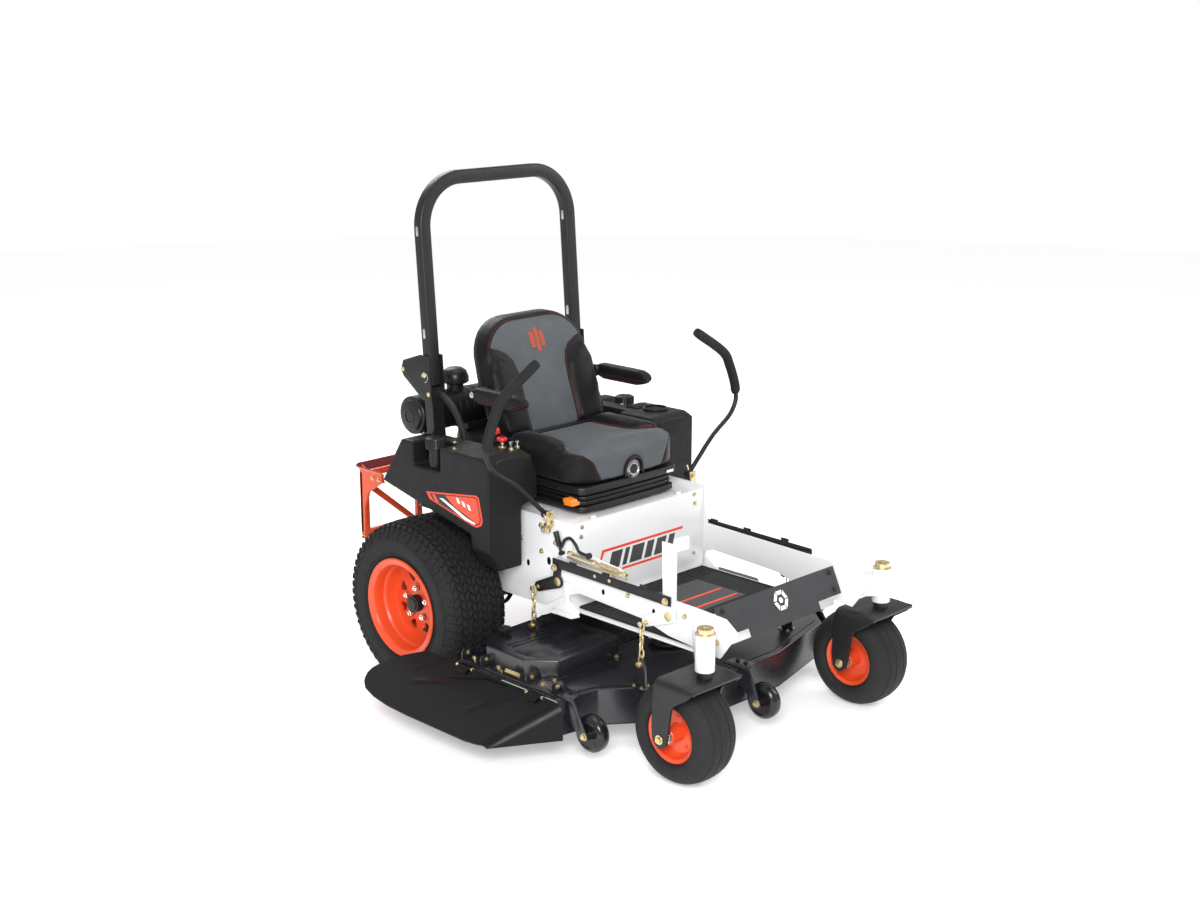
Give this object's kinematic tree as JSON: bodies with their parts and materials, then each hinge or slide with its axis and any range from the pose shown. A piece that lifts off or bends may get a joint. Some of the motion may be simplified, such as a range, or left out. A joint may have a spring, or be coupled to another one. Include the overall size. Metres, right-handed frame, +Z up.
{
  "type": "zero turn mower",
  "caption": "Ride-on zero turn mower with twin steering levers, folding roll bar, rear engine, sprung seat and a side-discharge blade deck hung from a raised frame.",
  "frame": {"origin": "on the ground, under the middle of the whole machine", "axes": "+Z up, the machine faces -Y, the operator's right hand is towards -X"},
  "size_m": [1.5, 1.82, 1.7267],
  "materials": {
    "white_paint": "gloss",
    "black_paint": "satin",
    "deck_paint": "gloss",
    "orange_paint": "gloss",
    "grey_plate": "textured matte",
    "black_plastic": "matte",
    "engine_black": "matte",
    "black_vinyl": "matte",
    "tyre_rubber": "matte",
    "mat_rubber": "matte",
    "chute_rubber": "satin",
    "foam_grip": "matte",
    "zinc": "yellow zinc plated",
    "chrome": "polished",
    "cast_metal": "as cast",
    "blade_steel": "ground",
    "red_plastic": "gloss",
    "orange_plastic": "gloss"
  },
  "bodies": {
    "chassis": {"side_rail_right": "white_paint", "side_rail_left": "white_paint", "foot_pan": "white_paint", "floor_mat": "mat_rubber", "front_plate": "grey_plate", "seat_panel": "white_paint", "engine_deck": "black_paint", "engine_guard": "orange_paint", "engine": "engine_black", "air_cleaner": "engine_black", "muffler": "cast_metal", "transaxle_right": "cast_metal", "transaxle_left": "cast_metal", "fuel_tank_right": "black_plastic", "fuel_tank_left": "black_plastic", "rops_post_right": "black_paint", "rops_post_left": "black_paint"},
    "roll_bar": {"rops_hoop": "black_paint"},
    "fuel_cap_right": {"fuel_cap_right": "black_plastic"},
    "fuel_cap_left": {"fuel_cap_left": "black_plastic"},
    "pto_knob": {"pto_knob": "red_plastic"},
    "throttle_lever": {"throttle_lever": "red_plastic"},
    "lever_bracket_right": {"lever_bracket_right": "zinc"},
    "control_lever_right": {"control_lever_right": "foam_grip"},
    "caster_fork_right": {"caster_fork_right": "black_paint"},
    "caster_wheel_right": {"caster_tyre_right": "tyre_rubber", "caster_rim_right": "orange_paint"},
    "drive_wheel_right": {"drive_tyre_right": "tyre_rubber", "drive_rim_right": "orange_paint"},
    "lever_bracket_left": {"lever_bracket_left": "zinc"},
    "control_lever_left": {"control_lever_left": "foam_grip"},
    "caster_fork_left": {"caster_fork_left": "black_paint"},
    "caster_wheel_left": {"caster_tyre_left": "tyre_rubber", "caster_rim_left": "orange_paint"},
    "drive_wheel_left": {"drive_tyre_left": "tyre_rubber", "drive_rim_left": "orange_paint"},
    "seat": {"seat_suspension": "black_plastic", "seat_cushion": "black_vinyl"},
    "seat_back": {"seat_back": "black_vinyl"},
    "armrest_right": {"armrest_right": "black_vinyl"},
    "armrest_left": {"armrest_left": "black_vinyl"},
    "weight_knob": {"weight_knob": "chrome"},
    "slide_lever": {"slide_lever": "orange_plastic"},
    "deck": {"mower_deck": "deck_paint", "belt_cover_right": "deck_paint", "belt_cover_left": "deck_paint"},
    "lift_pedal": {"lift_pedal": "white_paint"},
    "lift_rocker_front_left": {"lift_rocker_front_left": "black_paint"},
    "lift_rocker_rear_right": {"lift_rocker_rear_right": "black_paint"},
    "lift_link_right": {"lift_link_right": "black_paint"},
    "lift_rocker_rear_left": {"lift_rocker_rear_left": "black_paint"},
    "lift_link_left": {"lift_link_left": "black_paint"},
    "blade_right": {"blade_right": "blade_steel"},
    "blade_middle": {"blade_middle": "blade_steel"},
    "blade_left": {"blade_left": "blade_steel"},
    "anti_scalp_wheel_right": {"anti_scalp_wheel_right": "black_plastic"},
    "anti_scalp_wheel_middle": {"anti_scalp_wheel_middle": "black_plastic"},
    "anti_scalp_wheel_left": {"anti_scalp_wheel_left": "black_plastic"},
    "chute": {"discharge_chute": "chute_rubber"}
  },
  "joints": [
    {"name": "roll_bar_fold", "type": "hinge", "parent": "chassis", "child": "roll_bar", "pos_m": [0.09, 0.521, 1.05], "axis": [-1, 0, 0], "range_deg": [0, 100]},
    {"name": "fuel_cap_right_turn", "type": "hinge", "parent": "chassis", "child": "fuel_cap_right", "pos_m": [-0.362, 0.373, 0.77], "axis": [0, 0, 1], "continuous": true},
    {"name": "fuel_cap_left_turn", "type": "hinge", "parent": "chassis", "child": "fuel_cap_left", "pos_m": [0.542, 0.373, 0.77], "axis": [0, 0, 1], "continuous": true},
    {"name": "pto_pull", "type": "slide", "parent": "chassis", "child": "pto_knob", "axis": [0, 0, 1], "range_m": [0, 0.012]},
    {"name": "throttle_tilt", "type": "hinge", "parent": "chassis", "child": "throttle_lever", "pos_m": [-0.255, 0.21, 0.865], "axis": [1, 0, 0], "range_deg": [-25, 25]},
    {"name": "drive_lever_right_tilt", "type": "hinge", "parent": "chassis", "child": "lever_bracket_right", "pos_m": [-0.24, -0.045, 0.622], "axis": [1, 0, 0], "range_deg": [-12, 15]},
    {"name": "drive_lever_right_swing_in", "type": "hinge", "parent": "lever_bracket_right", "child": "control_lever_right", "pos_m": [-0.253, -0.045, 0.67], "axis": [0, 1, 0], "range_deg": [0, 30]},
    {"name": "caster_right_swivel", "type": "hinge", "parent": "chassis", "child": "caster_fork_right", "pos_m": [-0.344, -0.82, 0.165], "axis": [0, 0, 1], "continuous": true},
    {"name": "caster_right_spin", "type": "hinge", "parent": "caster_fork_right", "child": "caster_wheel_right", "pos_m": [-0.344, -0.745, 0.165], "axis": [1, 0, 0], "continuous": true},
    {"name": "drive_right_spin", "type": "hinge", "parent": "chassis", "child": "drive_wheel_right", "pos_m": [-0.377, 0.4205, 0.292], "axis": [1, 0, 0], "continuous": true},
    {"name": "drive_lever_left_tilt", "type": "hinge", "parent": "chassis", "child": "lever_bracket_left", "pos_m": [0.42, -0.045, 0.622], "axis": [1, 0, 0], "range_deg": [-12, 15]},
    {"name": "drive_lever_left_swing_in", "type": "hinge", "parent": "lever_bracket_left", "child": "control_lever_left", "pos_m": [0.433, -0.045, 0.67], "axis": [0, -1, 0], "range_deg": [0, 30]},
    {"name": "caster_left_swivel", "type": "hinge", "parent": "chassis", "child": "caster_fork_left", "pos_m": [0.524, -0.82, 0.165], "axis": [0, 0, 1], "continuous": true},
    {"name": "caster_left_spin", "type": "hinge", "parent": "caster_fork_left", "child": "caster_wheel_left", "pos_m": [0.524, -0.745, 0.165], "axis": [1, 0, 0], "continuous": true},
    {"name": "drive_left_spin", "type": "hinge", "parent": "chassis", "child": "drive_wheel_left", "pos_m": [0.557, 0.4205, 0.292], "axis": [1, 0, 0], "continuous": true},
    {"name": "seat_slide", "type": "slide", "parent": "chassis", "child": "seat", "axis": [0, 1, 0], "range_m": [-0.06, 0.05]},
    {"name": "seat_back_recline", "type": "hinge", "parent": "seat", "child": "seat_back", "pos_m": [0.09, 0.285, 0.8], "axis": [-1, 0, 0], "range_deg": [0, 12]},
    {"name": "armrest_right_fold", "type": "hinge", "parent": "seat_back", "child": "armrest_right", "pos_m": [-0.2, 0.34, 1.005], "axis": [-1, 0, 0], "range_deg": [0, 75]},
    {"name": "armrest_left_fold", "type": "hinge", "parent": "seat_back", "child": "armrest_left", "pos_m": [0.38, 0.34, 1.005], "axis": [-1, 0, 0], "range_deg": [0, 75]},
    {"name": "weight_knob_turn", "type": "hinge", "parent": "seat", "child": "weight_knob", "pos_m": [0.09, -0.113, 0.77], "axis": [0, 1, 0], "continuous": true},
    {"name": "slide_lever_lift", "type": "hinge", "parent": "seat", "child": "slide_lever", "pos_m": [-0.15, -0.03, 0.695], "axis": [-1, 0, 0], "range_deg": [0, 15]},
    {"name": "deck_height", "type": "slide", "parent": "chassis", "child": "deck", "axis": [0, 0, 1], "range_m": [0, 0.07]},
    {"name": "lift_pedal_push", "type": "hinge", "parent": "chassis", "child": "lift_pedal", "pos_m": [-0.2455, -0.583, 0.455], "axis": [1, 0, 0], "range_deg": [0, 41.2]},
    {"name": "lift_rocker_front_left_turn", "type": "hinge", "parent": "chassis", "child": "lift_rocker_front_left", "pos_m": [0.4255, -0.583, 0.455], "axis": [1, 0, 0], "range_deg": [0, 41.2]},
    {"name": "lift_rocker_rear_right_turn", "type": "hinge", "parent": "chassis", "child": "lift_rocker_rear_right", "pos_m": [-0.2455, -0.093, 0.45], "axis": [1, 0, 0], "range_deg": [0, 41.2]},
    {"name": "lift_link_right_shift", "type": "slide", "parent": "chassis", "child": "lift_link_right", "axis": [0, -1, 0], "range_m": [0, 0.034]},
    {"name": "lift_rocker_rear_left_turn", "type": "hinge", "parent": "chassis", "child": "lift_rocker_rear_left", "pos_m": [0.4255, -0.093, 0.45], "axis": [1, 0, 0], "range_deg": [0, 41.2]},
    {"name": "lift_link_left_shift", "type": "slide", "parent": "chassis", "child": "lift_link_left", "axis": [0, -1, 0], "range_m": [0, 0.034]},
    {"name": "blade_right_spin", "type": "hinge", "parent": "deck", "child": "blade_right", "pos_m": [-0.31, -0.145, 0.11], "axis": [0, 0, 1], "continuous": true},
    {"name": "blade_middle_spin", "type": "hinge", "parent": "deck", "child": "blade_middle", "pos_m": [0.09, -0.275, 0.11], "axis": [0, 0, 1], "continuous": true},
    {"name": "blade_left_spin", "type": "hinge", "parent": "deck", "child": "blade_left", "pos_m": [0.51, -0.165, 0.11], "axis": [0, 0, 1], "continuous": true},
    {"name": "anti_scalp_right_spin", "type": "hinge", "parent": "deck", "child": "anti_scalp_wheel_right", "pos_m": [-0.465, -0.473, 0.104], "axis": [1, 0, 0], "continuous": true},
    {"name": "anti_scalp_middle_spin", "type": "hinge", "parent": "deck", "child": "anti_scalp_wheel_middle", "pos_m": [0.107, -0.679, 0.104], "axis": [1, 0, 0], "continuous": true},
    {"name": "anti_scalp_left_spin", "type": "hinge", "parent": "deck", "child": "anti_scalp_wheel_left", "pos_m": [0.709, -0.529, 0.104], "axis": [1, 0, 0], "continuous": true},
    {"name": "chute_lift", "type": "hinge", "parent": "deck", "child": "chute", "pos_m": [-0.54, -0.145, 0.2], "axis": [0, 1, 0], "range_deg": [0, 80]}
  ],
  "couplings": [
    {"joint": "lift_pedal_push", "follows": "deck_height", "rad_per_m": 10.2},
    {"joint": "lift_rocker_front_left_turn", "follows": "deck_height", "rad_per_m": 10.2},
    {"joint": "lift_rocker_rear_right_turn", "follows": "deck_height", "rad_per_m": 10.2},
    {"joint": "lift_rocker_rear_left_turn", "follows": "deck_height", "rad_per_m": 10.2},
    {"joint": "lift_link_right_shift", "follows": "deck_height", "ratio": 0.48},
    {"joint": "lift_link_left_shift", "follows": "deck_height", "ratio": 0.48},
    {"joint": "blade_right_spin", "follows": "blade_middle_spin", "ratio": 1},
    {"joint": "blade_left_spin", "follows": "blade_middle_spin", "ratio": 1}
  ]
}
